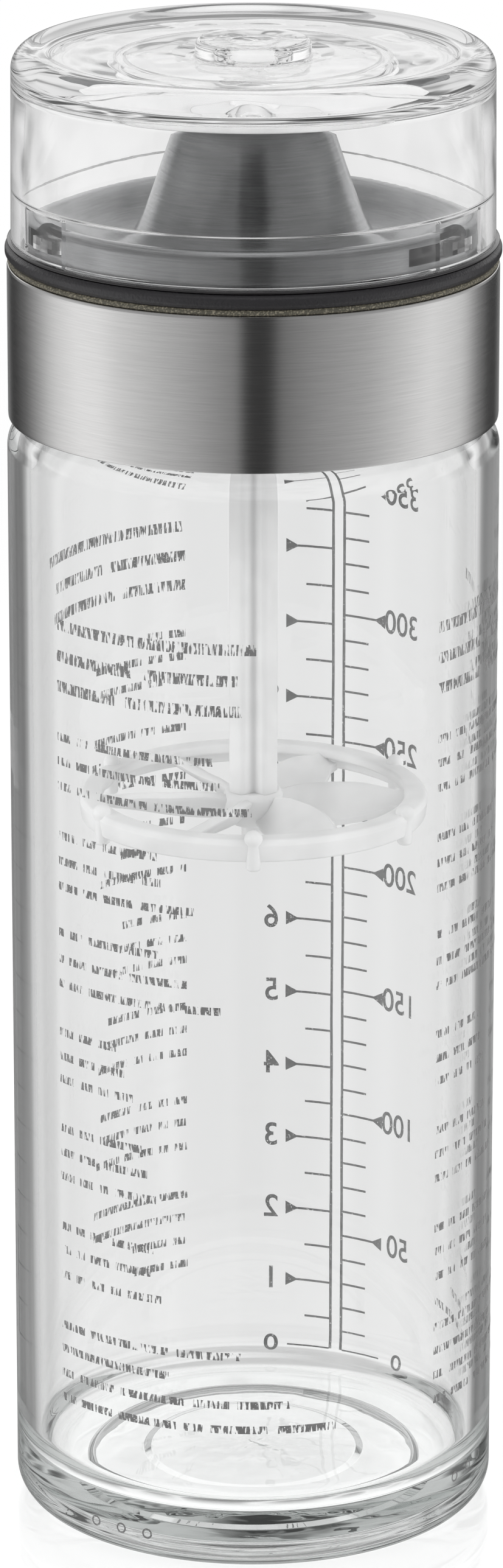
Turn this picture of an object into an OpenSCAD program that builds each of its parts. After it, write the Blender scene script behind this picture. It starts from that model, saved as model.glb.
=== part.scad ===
// Shaker bottle for salad dressing: a glass bottle with a screw closure, a steel
// pouring dome under a clear bayonet cap, and a whisk that hangs into the glass.
// The bottle stands on z = 0 and its axis is the z axis. Sizes are in millimetres.

/* [Glass bottle] */
// Outside diameter of the glass
bottle_d = 65; // [60:0.5:70]
// Thickness of the glass wall
wall_t = 3; // [2.5:0.1:3.3]
// Height of the straight wall, from the table to the shoulder
body_h = 147.9; // [130:0.5:170]
// Radius of the round shoulder
shoulder_r = 4; // [3.6:0.1:4.4]
// Height of the neck above the shoulder
neck_h = 16.2; // [15.6:0.1:19]
// Height of the inside floor above the table
floor_t = 7; // [5.5:0.25:9]
// Radius of the outside corner at the base
base_round = 4; // [3:0.25:5]
// Radius of the inside corner at the floor
floor_round = 5; // [3:0.5:7]
// Width of the flat ring that the bottle stands on
foot_w = 5; // [3.5:0.25:6]
// Depth of the recess inside that ring
recess_h = 1.8; // [1:0.1:2.4]
// Radius of the step in the middle of the recess
recess_step_r = 15; // [12:0.5:17]
// Height of that step
recess_step_h = 0.5; // [0.3:0.1:0.8]

/* [Screw thread] */
// Rise of the thread in one turn
thread_pitch = 5; // [4.5:0.25:5.5]
// Turns of the ridge on the glass neck
thread_turns = 1.25; // [1.1:0.05:1.4]
// Turns of the ridge inside the collar
collar_turns = 1; // [0.8:0.05:1.1]
// Height of each ridge above its wall
thread_h = 1.3; // [1.1:0.05:1.4]
// Width of a ridge at its crest
thread_crest_w = 1.1; // [0.9:0.1:1.3]
// Width of a ridge at its root
thread_root_w = 2.2; // [1.9:0.1:2.4]
// Clearance between a crest and the wall that it faces
thread_gap = 0.4; // [0.3:0.05:0.5]
// Clearance between the flanks that pull the closure down
flank_gap = 0.35; // [0.3:0.05:0.5]
// Height of the ridge's lower end above the shoulder
thread_start_h = 6.6; // [5.5:0.1:7]

/* [Closure] */
// Thickness of the steel sleeve
sleeve_t = 0.5; // [0.4:0.1:0.7]
// How far the sleeve stands inside the glass's outside diameter
sleeve_inset = 0.15; // [0:0.05:0.3]
// Gap between the collar's lower edge and the sleeve's
collar_lift = 0.4; // [0.2:0.1:1]
// Thickness of the collar's roof
roof_t = 1.5; // [1.2:0.1:2]
// Thickness of the mouth gasket
gasket_t = 1.4; // [1:0.1:1.8]
// How far the gasket reaches over the rim, inwards and outwards
gasket_over = 0.4; // [0.2:0.1:0.8]
// Thickness of the soft washer over the sleeve
washer_t = 0.8; // [0.6:0.1:1]
// Thickness of the black grip ring
grip_t = 2; // [1.6:0.1:2.6]
// How far the grip ring stands proud of the sleeve
grip_proud = 0.25; // [0.1:0.05:0.4]
// Thickness of the glossy lip that the cap stands on
lip_t = 0.5; // [0.4:0.1:0.8]
// Width of the step under that lip, where the grip ring sits
lip_step = 1.4; // [1.1:0.1:1.7]
// Gap between faces that slide on each other
slide_gap = 0.05; // [0.03:0.01:0.1]

/* [Pouring dome] */
// Thickness of the steel sheet
dome_t = 0.6; // [0.4:0.1:0.7]
// Height of the dome's upright wall, up to its round edge
skirt_h = 4.5; // [4.2:0.1:5.5]
// Radius of that round edge
edge_r = 1.2; // [1:0.1:1.4]
// Depth of the dish below the edge
dish_h = 4; // [3:0.1:4.3]
// Radius at the deepest place of the dish
dish_r = 19; // [18:0.25:20]
// Height of the spout's mouth above the dome's edge
spout_rise = 13; // [10:0.25:15]
// Outside radius of the steel at the spout's mouth
spout_r = 9.2; // [8.6:0.1:9.8]
// Wall of the white funnel under the steel
funnel_t = 1.2; // [1:0.1:1.5]
// Thickness of the funnel's flange under the collar's roof
flange_t = 1.4; // [1.2:0.1:2]
// Thickness of the plate between the flange and the spout
plate_t = 1.5; // [1.2:0.1:1.7]
// Radial thickness of the funnel's chamber wall
chamber_wall = 2.2; // [1.8:0.1:2.6]

/* [Bayonet] */
// Width of each lug of the cap, in degrees
lug_deg = 10; // [8:0.5:12]
// Height of a lug
lug_h = 1.7; // [1.3:0.1:1.8]
// Height of the lugs' underside above the cap's rim
lug_z = 1.35; // [1.2:0.05:1.5]
// How far a lug reaches in from the cap's wall
lug_reach = 1.9; // [1.5:0.1:2]
// Turn between open and locked, in degrees
lock_deg = 12; // [10:0.5:16]
// Clearance round a lug in its track
track_gap = 0.3; // [0.25:0.05:0.4]
// Radial thickness of the ring that holds the tracks
bayonet_wall = 2; // [1.8:0.1:2.2]

/* [Clear cap] */
// How far the cap stands inside the glass's outside diameter
cap_inset = 0.7; // [0.5:0.05:1]
// Wall of the cap beside the steel
cap_wall = 1.7; // [1.5:0.1:2]
// How much thicker the wall is above its inside step
cap_step = 0.4; // [0.2:0.1:0.5]
// Height of the inside step above the cap's rim
cap_step_h = 6.3; // [5.8:0.1:7]
// How much the cap narrows towards its top
cap_draft = 0.2; // [0:0.05:0.4]
// Height of the cap over its round rim
cap_h = 25.2; // [23:0.1:28]
// Radius of the cap's round top edge
cap_round = 2.8; // [2:0.1:3.2]
// Thickness of the roof
cap_roof_t = 2.6; // [2.2:0.1:3]
// Depth of the roof's shallow dish
cap_dish = 0.9; // [0.4:0.1:1.2]
// Gap between the cap's wall and the steel
cap_gap = 0.5; // [0.35:0.05:0.8]
// Radius of the knob in the middle of the roof
knob_r = 7.6; // [7:0.1:8.2]
// Height of the knob above the roof's dish
knob_h = 1.9; // [1.6:0.1:2.4]
// Radius of the knob's round edge
knob_round = 0.8; // [0.5:0.1:1]
// Radius of the soft seal under the roof
seal_r = 16.5; // [15:0.25:17]
// Wall of the ring that surrounds the seal
seal_ring_t = 1.2; // [1:0.1:1.5]
// Height of that ring
seal_ring_h = 2.5; // [2:0.1:2.8]
// Clearance round the seal
seal_gap = 0.3; // [0.25:0.05:0.4]
// Radius of the seal's stem, which snaps up into the knob
stem_r = 2.3; // [2:0.1:2.6]
// Radius of the head on that stem
stem_head_r = 3.1; // [2.9:0.1:3.4]

/* [Whisk] */
// Diameter of the fluted rod
rod_d = 7; // [6:0.1:8]
// Thickness of the rod's four fins
fin_t = 2.6; // [2:0.1:3]
// Length of the rod, from its top to the whisk ring
rod_len = 70.9; // [60:0.1:90]
// How deep the rod sits in its socket
socket_depth = 9; // [7:0.25:11]
// Clearance between the rod and its socket
rod_gap = 0.08; // [0.05:0.01:0.1]
// Wall of the socket
socket_wall = 1.6; // [1.3:0.1:2]
// Width of the three arms that hold the socket
arm_w = 3.5; // [2.5:0.1:4.5]
// Gap between the whisk ring and the neck that it passes
ring_gap = 2.1; // [1.2:0.1:3]
// Width of the whisk ring's flat top
ring_w = 3.2; // [2.6:0.1:4]
// Thickness of that top
ring_t = 1.4; // [1:0.1:1.8]
// Height of the whisk ring's outer wall
ring_h = 3.1; // [2.6:0.1:4]
// Number of blades, and of the pins between them
blade_n = 6; // [4:1:8]
// Width of a blade
blade_w = 5.6; // [4:0.1:6]
// Thickness of a blade
blade_t = 1.2; // [0.9:0.1:1.5]
// Tilt of a blade, in degrees
blade_tilt = 30; // [20:1:40]
// Radius of the hub
hub_r = 4; // [3.5:0.1:4.5]
// Height of the hub
hub_h = 4.8; // [4:0.1:6]
// Radius of the rod's spigot in the hub
spigot_r = 1.55; // [1.3:0.05:1.8]
// How far the spigot shows below the hub
spigot_out = 2.5; // [1.5:0.1:4]
// Radius of a pin
pin_r = 1.1; // [0.8:0.05:1.3]
// How far a pin stands above and below the whisk ring
pin_out = 1.2; // [0.8:0.1:2]

/* [Hidden] */
$fn = 96;

// Overlap that fuses two shapes of one piece, and the overrun of a cut
fuse = 0.5;
// Clearance between pieces that are pressed or clipped together
clip_gap = 0.05;

// Glass bottle
bottle_r = bottle_d / 2;
bore_r = bottle_r - wall_t;
neck_r = bottle_r - shoulder_r;
neck_bore_r = neck_r - wall_t;
shoulder_z = body_h + shoulder_r;
rim_z = shoulder_z + neck_h;
rim_round = 0.8;
foot_r1 = bottle_r - base_round;
foot_r0 = foot_r1 - foot_w;

// Screw thread
collar_bore_r = neck_r + thread_h + thread_gap;
thread_z = shoulder_z + thread_start_h;
mid_w = (thread_crest_w + thread_root_w) / 2;
collar_thread_drop = mid_w + flank_gap;
collar_thread_start = 45;
thread_fade = 30;
thread_step = 10;
thread_sink = 0.6;

// Closure, from the glass rim upwards
gasket_z0 = rim_z + slide_gap;
gasket_z1 = gasket_z0 + gasket_t;
flange_z0 = gasket_z1 + slide_gap;
flange_z1 = flange_z0 + flange_t;
roof_z1 = flange_z1 + roof_t;
grip_z0 = roof_z1 + washer_t;
lip_z0 = grip_z0 + grip_t;
seat_z = lip_z0 + lip_t;
sleeve_r = bottle_r - sleeve_inset;
collar_r = sleeve_r - sleeve_t;
collar_z0 = shoulder_z + collar_lift;
grip_r = sleeve_r + grip_proud;
lip_r = sleeve_r - 0.05;
lip_step_r = lip_r - lip_step;

// Clear cap
cap_r = bottle_r - cap_inset;
cap_top_r = cap_r - cap_draft;
cap_bore_r = cap_r - cap_wall;
cap_upper_bore_r = cap_bore_r - cap_step;
cap_z0 = seat_z + slide_gap;
cap_rim_z = cap_z0 + cap_h - slide_gap;
cap_dish_z = cap_rim_z - cap_dish;
cap_under_z = cap_dish_z - cap_roof_t;
knob_z = cap_dish_z + knob_h;
cap_edge = 0.3;

// Pouring dome
skirt_r = cap_bore_r - cap_gap;
edge_z = seat_z + skirt_h;
dish_z = edge_z - dish_h;
spout_z = edge_z + spout_rise;

// Bayonet
bayonet_r = skirt_r - dome_t;
bayonet_bore_r = bayonet_r - bayonet_wall;
lug_z0 = cap_z0 + lug_z;
lug_z1 = lug_z0 + lug_h;
lug_tip_r = cap_bore_r - lug_reach;
track_r = lug_tip_r - track_gap;
track_z0 = lug_z0 - track_gap;
track_z1 = lug_z1 + track_gap;
bayonet_z1 = track_z1 - 0.4;
lug_angles = [-151, -31, 89];
track_play = 1;
pad_deg = 19;
pad_depth = 0.5;

// Funnel and rod holder
chamber_r1 = bayonet_bore_r - 0.2;
chamber_r0 = chamber_r1 - chamber_wall;
plate_z1 = roof_z1 + plate_t;
holder_r = chamber_r0 - clip_gap;
holder_ring_w = 1.6;
holder_h = 2.2;
holder_z0 = roof_z1 - holder_h;
rod_r = rod_d / 2;
socket_r = rod_r + rod_gap;
socket_top_z = roof_z1 - socket_wall + 0.4;
rod_z1 = socket_top_z - slide_gap;
socket_z0 = rod_z1 - socket_depth;

// Cap seal
seal_z0 = spout_z + 0.55;
seal_z1 = cap_under_z - slide_gap;
stem_z1 = knob_z - 1.5;
stem_head_h = 1.1;

// Whisk
ring_z1 = rod_z1 - rod_len;
ring_z0 = ring_z1 - ring_h;
ring_r1 = neck_bore_r - ring_gap;
ring_r0 = ring_r1 - ring_w;
blade_z = ring_z1 - ring_h / 2 - 0.3;
hub_z0 = ring_z1 - hub_h;
pin_ring_r = ring_r1 - 0.7;

// Points of an arc in the r-z plane, about [r, z], from angle a0 to a1
function arc(r, z, radius, a0, a1, steps = 10) =
    [for (i = [0 : steps]) let (a = a0 + (a1 - a0) * i / steps)
        [r + radius * cos(a), z + radius * sin(a)]];

// Point at t of the curve from p0 to p3 that p1 and p2 pull
function curve_point(p0, p1, p2, p3, t) =
    pow(1 - t, 3) * p0 + 3 * pow(1 - t, 2) * t * p1
    + 3 * (1 - t) * t * t * p2 + pow(t, 3) * p3;

// The dome's dish and cone, from the dish's deepest place to the spout's mouth
function cone_curve(inset, steps = 14) =
    let (rise = spout_z - dish_z)
    [for (i = [0 : steps])
        curve_point([dish_r, dish_z - inset],
                    [dish_r - 4.4 - inset / 2, dish_z - inset],
                    [spout_r + 4 - inset, dish_z + 0.48 * rise],
                    [spout_r - inset, spout_z], i / steps)];

// The dish's outer half, from the dome's round edge down to its deepest place
function dish_curve(inset, steps = 8) =
    let (r_top = skirt_r - edge_r, width = r_top - dish_r)
    [for (i = [1 : steps - 1])
        curve_point([r_top, edge_z - inset], [r_top - 0.35 * width, edge_z - inset],
                    [dish_r + 0.45 * width, dish_z - inset], [dish_r, dish_z - inset], i / steps)];

// Height of a ridge at turn angle t, fading out at both ends
function ridge_share(t, last) = min(1, t / thread_fade, (last - t) / thread_fade);

// A helical ridge: its inner and outer face have their own radius and width.
// The side named by crest_out fades into the wall, the other is sunk in it.
module helical_ridge(wall_r, crest_out, turns, start, z0) {
    last = turns * 360;
    count = round(last / thread_step);
    side = crest_out ? 1 : -1;
    points = [for (i = [0 : count])
        let (t = last * i / count,
             share = max(0, ridge_share(t, last)),
             crest = wall_r + side * (share * (thread_h + 0.1) - 0.1),
             sunk = wall_r - side * thread_sink,
             r_in = min(crest, sunk),
             r_out = max(crest, sunk),
             w_in = crest_out ? thread_root_w : thread_crest_w,
             w_out = crest_out ? thread_crest_w : thread_root_w,
             a = start + t,
             z = z0 + thread_pitch * a / 360)
        each [[r_in * cos(a), r_in * sin(a), z - w_in / 2],
              [r_out * cos(a), r_out * sin(a), z - w_out / 2],
              [r_out * cos(a), r_out * sin(a), z + w_out / 2],
              [r_in * cos(a), r_in * sin(a), z + w_in / 2]]];
    sides = [for (i = [0 : count - 1], j = [0 : 3])
        let (a = 4 * i + j, b = 4 * i + (j + 1) % 4)
        each [[a, b, b + 4], [a, b + 4, a + 4]]];
    ends = [[2, 1, 0], [3, 2, 0],
            [4 * count, 4 * count + 1, 4 * count + 2],
            [4 * count, 4 * count + 2, 4 * count + 3]];
    polyhedron(points, concat(sides, ends), convexity = 6);
}

// A plain ring between two radii and two heights
module ring(r0, r1, z0, z1) {
    rotate_extrude() translate([r0, z0]) square([r1 - r0, z1 - z0]);
}

// A stretch of a ring, width degrees wide and centred on an angle
module ring_piece(angle, width, r0, r1, z0, z1) {
    rotate([0, 0, angle - width / 2])
        rotate_extrude(angle = width) translate([r0, z0]) square([r1 - r0, z1 - z0]);
}

// The space that the cap's lugs need: an open channel down from above, and a
// slot beside it that the lugs turn into, clockwise as seen from above
module lug_tracks() {
    play = lug_deg + 2 * track_play;
    for (a = lug_angles) {
        ring_piece(a, play + 0.5, track_r - 0.05, cap_bore_r, track_z0 + 1, edge_z + fuse);
        ring_piece(a - lock_deg / 2, play + lock_deg, track_r, cap_bore_r, track_z0, track_z1);
    }
}

// Clear glass, blown in a mould, with a recess in its base and a threaded neck
module glass_bottle() {
    color("lightcyan", 0.35) union() {
        rotate_extrude() polygon(concat(
            [[0, recess_h + recess_step_h], [recess_step_r - 1, recess_h + recess_step_h],
             [recess_step_r, recess_h], [foot_r0 - 1.5, recess_h], [foot_r0, 0]],
            arc(foot_r1, base_round, base_round, -90, 0),
            arc(neck_r, body_h, shoulder_r, 0, 90),
            arc(neck_r - rim_round, rim_z - rim_round, rim_round, 0, 90, 5),
            [[neck_bore_r, rim_z]],
            arc(neck_bore_r, body_h - 0.5, shoulder_r, 90, 0),
            arc(bore_r - floor_round, floor_t + floor_round, floor_round, 0, -90),
            [[0, floor_t + recess_h / 2]]));
        helical_ridge(neck_r, true, thread_turns, 0, thread_z);
    }
}

// Flat silicone ring between the glass rim and the funnel's flange
module mouth_gasket() {
    color("whitesmoke") ring(neck_bore_r - gasket_over, neck_r + gasket_over,
                             gasket_z0, gasket_z1);
}

// Black moulded collar with the inside thread and a roof over the flange
module thread_collar() {
    color("dimgray") union() {
        rotate_extrude() polygon([
            [collar_bore_r, collar_z0], [collar_r, collar_z0], [collar_r, roof_z1],
            [bayonet_bore_r, roof_z1], [bayonet_bore_r, flange_z1],
            [collar_bore_r, flange_z1]]);
        helical_ridge(collar_bore_r, false, collar_turns, collar_thread_start,
                      thread_z - collar_thread_drop);
    }
}

// Brushed steel band, pressed over the collar
module steel_sleeve() {
    edge = 0.15;
    color("silver") rotate_extrude() polygon([
        [collar_r, shoulder_z], [sleeve_r - edge, shoulder_z], [sleeve_r, shoulder_z + edge],
        [sleeve_r, roof_z1 - edge], [sleeve_r - edge, roof_z1], [collar_r, roof_z1]]);
}

// Olive-grey soft washer between the sleeve and the grip ring
module soft_washer() {
    edge = 0.2;
    color("#5e5b50") rotate_extrude() polygon([
        [lip_step_r, roof_z1], [sleeve_r - edge, roof_z1], [sleeve_r, roof_z1 + washer_t / 2],
        [sleeve_r - edge, grip_z0], [lip_step_r, grip_z0]]);
}

// Black textured ring, widest near its top
module grip_ring() {
    bulge = 0.9;
    color("#2b2a2d") rotate_extrude() polygon(concat(
        [[lip_step_r, grip_z0]],
        [[grip_r - 0.4, grip_z0]],
        arc(grip_r - bulge, lip_z0 - bulge, bulge, 0, 90, 6),
        [[lip_step_r, lip_z0]]));
}

// Black moulded ring with the glossy lip that the cap stands on and the
// upright wall that holds the tracks for the cap's lugs
module bayonet_ring() {
    color("#333236") difference() {
        rotate_extrude() polygon([
            [bayonet_bore_r, roof_z1], [lip_step_r, roof_z1], [lip_step_r, lip_z0],
            [lip_r, lip_z0], [lip_r, seat_z], [bayonet_r, seat_z],
            [bayonet_r, bayonet_z1], [bayonet_bore_r, bayonet_z1]]);
        lug_tracks();
    }
}

// White translucent moulding that carries the liquid from the neck to the spout
module pour_funnel() {
    outer = cone_curve(dome_t + clip_gap);
    inner = cone_curve(dome_t + clip_gap + funnel_t);
    lip_in_r = spout_r - dome_t - funnel_t;
    plate_r = dish_r - 3;
    color("white", 0.8) rotate_extrude() polygon(concat(
        [[chamber_r0, flange_z0], [collar_bore_r - clip_gap, flange_z0],
         [collar_bore_r - clip_gap, flange_z1], [chamber_r1, flange_z1],
         [chamber_r1, plate_z1], [plate_r, plate_z1]],
        [for (p = outer) if (p[1] > plate_z1 && p[0] < plate_r) p],
        [[spout_r - dome_t - clip_gap, spout_z + 0.05], [spout_r - 0.1, spout_z + 0.15],
         [spout_r - 0.1, spout_z + 0.45], [lip_in_r, spout_z + 0.45]],
        [for (i = [len(inner) - 1 : -1 : 0])
            let (p = inner[i]) if (p[1] > plate_z1 && p[0] < plate_r - funnel_t) p],
        [[plate_r - funnel_t, roof_z1], [chamber_r0, roof_z1]]));
}

// Brushed steel pressing: upright wall, round edge, dish and pouring cone
module pouring_dome() {
    color("gray") difference() {
        rotate_extrude() polygon(concat(
            [[skirt_r, seat_z]],
            arc(skirt_r - edge_r, edge_z - edge_r, edge_r, 0, 90, 8),
            dish_curve(0), cone_curve(0),
            [[spout_r - dome_t, spout_z]],
            [for (i = [14 : -1 : 0]) cone_curve(dome_t)[i]],
            [for (i = [6 : -1 : 0]) dish_curve(dome_t)[i]],
            arc(skirt_r - edge_r, edge_z - edge_r, edge_r - dome_t, 90, 0, 8),
            [[bayonet_r, seat_z]]));
        lug_tracks();
    }
}

// White spider clipped into the funnel: a rim, three arms and the rod's socket
module rod_holder() {
    color("white") difference() {
        union() {
            ring(holder_r - holder_ring_w, holder_r, holder_z0, roof_z1);
            for (a = [90, 210, 330]) rotate([0, 0, a])
                translate([0, -arm_w / 2, holder_z0])
                    cube([holder_r - holder_ring_w / 2, arm_w, holder_h]);
            translate([0, 0, socket_z0])
                cylinder(h = roof_z1 - socket_z0, r = socket_r + socket_wall);
        }
        translate([0, 0, socket_z0 - fuse])
            cylinder(h = socket_top_z - socket_z0 + fuse, r = socket_r);
    }
}

// Translucent silicone disc that closes the spout; its stem snaps into the knob
module cap_seal() {
    color("white", 0.7) rotate_extrude() polygon([
        [0, seal_z0], [seal_r - 0.4, seal_z0], [seal_r, seal_z0 + 0.4], [seal_r, seal_z1],
        [stem_r, seal_z1], [stem_r, stem_z1 - stem_head_h], [stem_head_r, stem_z1 - stem_head_h],
        [stem_r, stem_z1], [0, stem_z1]]);
}

// Clear moulded cap with a knob, a ring round the seal and three lugs
module clear_cap() {
    ring_r0 = seal_r + seal_gap;
    ring_r1 = ring_r0 + seal_ring_t;
    under_round = cap_round - 0.6;
    pocket_r = stem_head_r + seal_gap;
    moat = 0.4;
    color("lightcyan", 0.3) union() {
        difference() {
            rotate_extrude() polygon(concat(
                [[cap_bore_r + cap_edge, cap_z0], [cap_r - cap_edge, cap_z0],
                 [cap_r, cap_z0 + cap_edge]],
                arc(cap_top_r - cap_round, cap_rim_z - cap_round, cap_round, 0, 90),
                [for (i = [1 : 6]) curve_point(
                    [cap_top_r - cap_round, cap_rim_z],
                    [cap_top_r - cap_round - 1.6, cap_rim_z],
                    [cap_top_r - cap_round - 1.8, cap_dish_z],
                    [cap_top_r - cap_round - 4.5, cap_dish_z], i / 6)],
                [[knob_r + 3, cap_dish_z], [knob_r + 1.2, cap_dish_z - moat],
                 [knob_r, cap_dish_z - moat]],
                arc(knob_r - knob_round, knob_z - knob_round, knob_round, 0, 90, 6),
                [[0, knob_z - 0.3], [0, stem_z1 + seal_gap],
                 [pocket_r, stem_z1 + seal_gap],
                 [pocket_r, stem_z1 - stem_head_h - seal_gap],
                 [stem_r + seal_gap, stem_z1 - stem_head_h - seal_gap],
                 [stem_r + seal_gap, cap_under_z], [ring_r0, cap_under_z],
                 [ring_r0, cap_under_z - seal_ring_h], [ring_r1, cap_under_z - seal_ring_h],
                 [ring_r1, cap_under_z]],
                arc(cap_upper_bore_r - under_round, cap_under_z - under_round,
                    under_round, 90, 0),
                [[cap_upper_bore_r, cap_z0 + cap_step_h + cap_step],
                 [cap_bore_r, cap_z0 + cap_step_h],
                 [cap_bore_r, cap_z0 + cap_edge]]));
            for (a = lug_angles)
                ring_piece(a, pad_deg, cap_bore_r - fuse, cap_bore_r + pad_depth,
                           cap_z0 - fuse, cap_z0 + cap_step_h - 0.3);
        }
        for (a = lug_angles)
            ring_piece(a, lug_deg, lug_tip_r, cap_bore_r + pad_depth + fuse, lug_z0, lug_z1);
    }
}

// White moulded rod: a round plug in the socket, four fins, a spigot in the hub
module whisk_rod() {
    core_r = rod_r * 0.55;
    color("white") union() {
        translate([0, 0, socket_z0]) cylinder(h = rod_z1 - socket_z0, r = rod_r);
        translate([0, 0, ring_z1]) cylinder(h = socket_z0 - ring_z1, r = core_r);
        intersection() {
            translate([0, 0, ring_z1]) cylinder(h = socket_z0 - ring_z1, r = rod_r);
            for (a = [45, 135]) rotate([0, 0, a])
                translate([-rod_d, -fin_t / 2, ring_z1]) cube([2 * rod_d, fin_t, rod_len]);
        }
        translate([0, 0, hub_z0 - spigot_out])
            cylinder(h = ring_z1 - hub_z0 + spigot_out + fuse, r = spigot_r);
    }
}

// White moulded whisk: a ring on tilted blades, with a pin between each pair
module whisk_disc() {
    blade_step = 360 / blade_n;
    color("white") difference() {
        union() {
            rotate_extrude() polygon([
                [ring_r0, ring_z1 - ring_t], [ring_r1 - ring_t, ring_z1 - ring_t],
                [ring_r1 - ring_t, ring_z0], [ring_r1, ring_z0],
                [ring_r1, ring_z1 - 0.4], [ring_r1 - 0.4, ring_z1], [ring_r0, ring_z1]]);
            rotate_extrude() polygon([
                [0, hub_z0], [hub_r - 0.8, hub_z0], [hub_r, ring_z1 - 1], [hub_r, ring_z1],
                [0, ring_z1]]);
            intersection() {
                ring(hub_r / 2, ring_r0 + 1, hub_z0, ring_z1);
                for (i = [0 : blade_n - 1]) rotate([0, 0, i * blade_step])
                    translate([0, 0, blade_z]) rotate([blade_tilt, 0, 0])
                        translate([0, -blade_w / 2, -blade_t / 2])
                            cube([ring_r1, blade_w, blade_t]);
            }
            for (i = [0 : blade_n - 1]) rotate([0, 0, (i + 0.5) * blade_step])
                translate([pin_ring_r, 0, ring_z0 - pin_out])
                    cylinder(h = ring_h + 2 * pin_out, r = pin_r, $fn = 32);
        }
        translate([0, 0, hub_z0 - fuse])
            cylinder(h = hub_h + 2 * fuse, r = spigot_r + clip_gap / 2);
    }
}

glass_bottle();
mouth_gasket();
thread_collar();
steel_sleeve();
soft_washer();
grip_ring();
bayonet_ring();
pour_funnel();
pouring_dome();
rod_holder();
cap_seal();
clear_cap();
whisk_rod();
whisk_disc();
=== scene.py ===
import bpy, bmesh, math
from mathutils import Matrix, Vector


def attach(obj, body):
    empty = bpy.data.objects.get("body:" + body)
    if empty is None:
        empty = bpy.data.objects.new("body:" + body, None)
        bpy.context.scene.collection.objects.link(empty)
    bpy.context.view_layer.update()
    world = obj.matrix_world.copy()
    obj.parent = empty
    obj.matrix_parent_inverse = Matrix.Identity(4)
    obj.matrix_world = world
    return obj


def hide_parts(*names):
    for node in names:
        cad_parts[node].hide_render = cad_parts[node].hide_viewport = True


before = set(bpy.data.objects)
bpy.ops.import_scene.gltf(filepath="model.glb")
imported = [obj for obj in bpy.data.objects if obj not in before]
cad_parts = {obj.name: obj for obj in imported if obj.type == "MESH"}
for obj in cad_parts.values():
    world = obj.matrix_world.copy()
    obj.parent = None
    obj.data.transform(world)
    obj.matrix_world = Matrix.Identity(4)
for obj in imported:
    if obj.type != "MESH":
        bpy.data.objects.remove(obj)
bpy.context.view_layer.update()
MM = 0.001


# ---- Viewpoint -------------------------------------------------------------
# The bottle is seen from a little above, from nearly a metre away, through a
# long lens that fills the tall frame with it.
view_down = math.radians(17.2)
view_distance = 954.2 * MM
look_at = Vector((-0.25, 0, 100.6)) * MM
camera_place = look_at + view_distance * Vector((0, -math.cos(view_down), math.sin(view_down)))
bpy.ops.object.camera_add(location=camera_place, rotation=(math.pi / 2 - view_down, 0, 0))
camera = bpy.context.active_object
camera.data.lens = 163.5
camera.data.sensor_width = 36
camera.data.sensor_fit = "AUTO"
camera.data.clip_start = 0.01
bpy.context.scene.camera = camera
bpy.context.scene.view_settings.view_transform = "Standard"


# ---- Studio ----------------------------------------------------------------
# A white glossy table and a white wall behind the bottle, with a tall soft
# panel on each side, a dark gap behind the viewer and dark flags beyond the
# wall, which give the glass its dark edges.
def link(tree, out, into):
    tree.links.new(out, into)


def math_node(tree, operation, a, b=None, clamp=False):
    node = tree.nodes.new("ShaderNodeMath")
    node.operation = operation
    node.use_clamp = clamp
    for socket, value in zip(node.inputs, (a, b)):
        if value is None:
            continue
        if isinstance(value, (int, float)):
            socket.default_value = value
        else:
            link(tree, value, socket)
    return node.outputs[0]


def grey_ramp(tree, fac, stops):
    """Grey by a value from 0 to 1, from (value, grey) stops."""
    node = tree.nodes.new("ShaderNodeValToRGB")
    marks = node.color_ramp.elements
    while len(marks) < len(stops):
        marks.new(0.5)
    for mark, (place, grey) in zip(marks, stops):
        mark.position = place
        mark.color = (grey, grey, grey, 1)
    link(tree, fac, node.inputs["Fac"])
    return node.outputs["Color"]


def smooth_step(tree, value, low, high):
    node = tree.nodes.new("ShaderNodeMapRange")
    node.interpolation_type = "SMOOTHSTEP"
    node.inputs["From Min"].default_value = low
    node.inputs["From Max"].default_value = high
    link(tree, value, node.inputs["Value"])
    return node.outputs["Result"]


def mix_colour(tree, fac, a, b):
    node = tree.nodes.new("ShaderNodeMix")
    node.data_type = "RGBA"
    sockets = [next(s for s in node.inputs if s.name == name and s.type == kind)
               for name, kind in (("Factor", "VALUE"), ("A", "RGBA"), ("B", "RGBA"))]
    for socket, value in zip(sockets, (fac, a, b)):
        if isinstance(value, (int, float)) and socket.type == "RGBA":
            socket.default_value = (value, value, value, 1)
        elif isinstance(value, (int, float, tuple)):
            socket.default_value = value
        else:
            link(tree, value, socket)
    return next(s for s in node.outputs if s.type == "RGBA")


def by_turn(*degrees_grey):
    """Ramp stops for a turn from the viewer's side: 0 is behind the viewer, 180 behind the bottle."""
    return [(0.5 + degrees / 360, grey) for degrees, grey in degrees_grey]


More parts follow.
